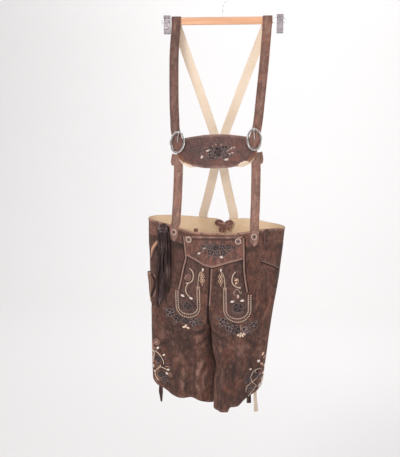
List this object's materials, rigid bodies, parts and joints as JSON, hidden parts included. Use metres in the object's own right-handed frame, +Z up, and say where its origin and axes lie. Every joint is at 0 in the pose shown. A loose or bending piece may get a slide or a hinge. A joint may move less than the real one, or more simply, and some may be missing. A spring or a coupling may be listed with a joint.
{
  "type": "lederhosen on a clip hanger",
  "caption": "Knee-length leather breeches with embroidered drop front, ring-buckled braces and chest bar, hung by the braces from a wooden clip hanger.",
  "frame": {"origin": "top of the inside of the hanger's hook, where the rail bears", "axes": "+Z up, -Y the front of the garment, +X the wearer's left"},
  "size_m": [0.4284, 0.1819, 1.3054],
  "materials": {
    "brown_leather": "napped, matt",
    "dark_leather": "matt, worn",
    "cream_leather": "flesh side, matt",
    "horn": "polished horn, marbled",
    "beech": "varnished, satin",
    "steel": "bright plated wire and sheet",
    "antique_silver": "cast, darkened in the hollows"
  },
  "bodies": {
    "root": {"back_bow": "brown_leather", "back_button_left": "horn", "back_button_right": "horn", "back_gusset": "brown_leather", "back_lace": "dark_leather", "back_lace_over": "dark_leather", "back_left": "brown_leather", "back_right": "brown_leather", "belt_loop_back_left": "dark_leather", "belt_loop_back_right": "dark_leather", "belt_loop_front_left": "dark_leather", "belt_loop_front_right": "dark_leather", "buckle_left": "antique_silver", "buckle_right": "antique_silver", "buckle_tongue_left": "antique_silver", "buckle_tongue_right": "antique_silver", "centre_piping": "brown_leather", "centre_strip_left": "brown_leather", "centre_strip_right": "brown_leather", "chest_backing": "cream_leather", "chest_bar": "brown_leather", "clip_left": "steel", "clip_right": "steel", "cross_patch": "dark_leather", "flap_band_left": "brown_leather", "flap_band_right": "brown_leather", "flap_button_left": "horn", "flap_button_right": "horn", "flap_left": "dark_leather", "flap_piping_left": "brown_leather", "flap_piping_right": "brown_leather", "flap_right": "dark_leather", "flap_yoke": "brown_leather", "front_left": "brown_leather", "front_right": "brown_leather", "hanger_bar": "beech", "hanger_hook": "steel", "hanger_wire_left": "steel", "hanger_wire_right": "steel", "hem_knot_left": "dark_leather", "hem_tie_left": "cream_leather", "hem_tie_right": "dark_leather", "inner_tab": "brown_leather", "knife_pocket": "brown_leather", "lace_bundle": "dark_leather", "lower_strap_left": "brown_leather", "lower_strap_right": "brown_leather", "pocket_welt_left": "brown_leather", "pocket_welt_right": "brown_leather", "strap_button_left": "horn", "strap_button_right": "horn", "strap_left": "brown_leather", "strap_right": "brown_leather", "strap_tail_left": "dark_leather", "strap_tail_right": "dark_leather", "waistband_back_left": "brown_leather", "waistband_back_right": "brown_leather", "waistband_front": "brown_leather"}
  },
  "joints": []
}
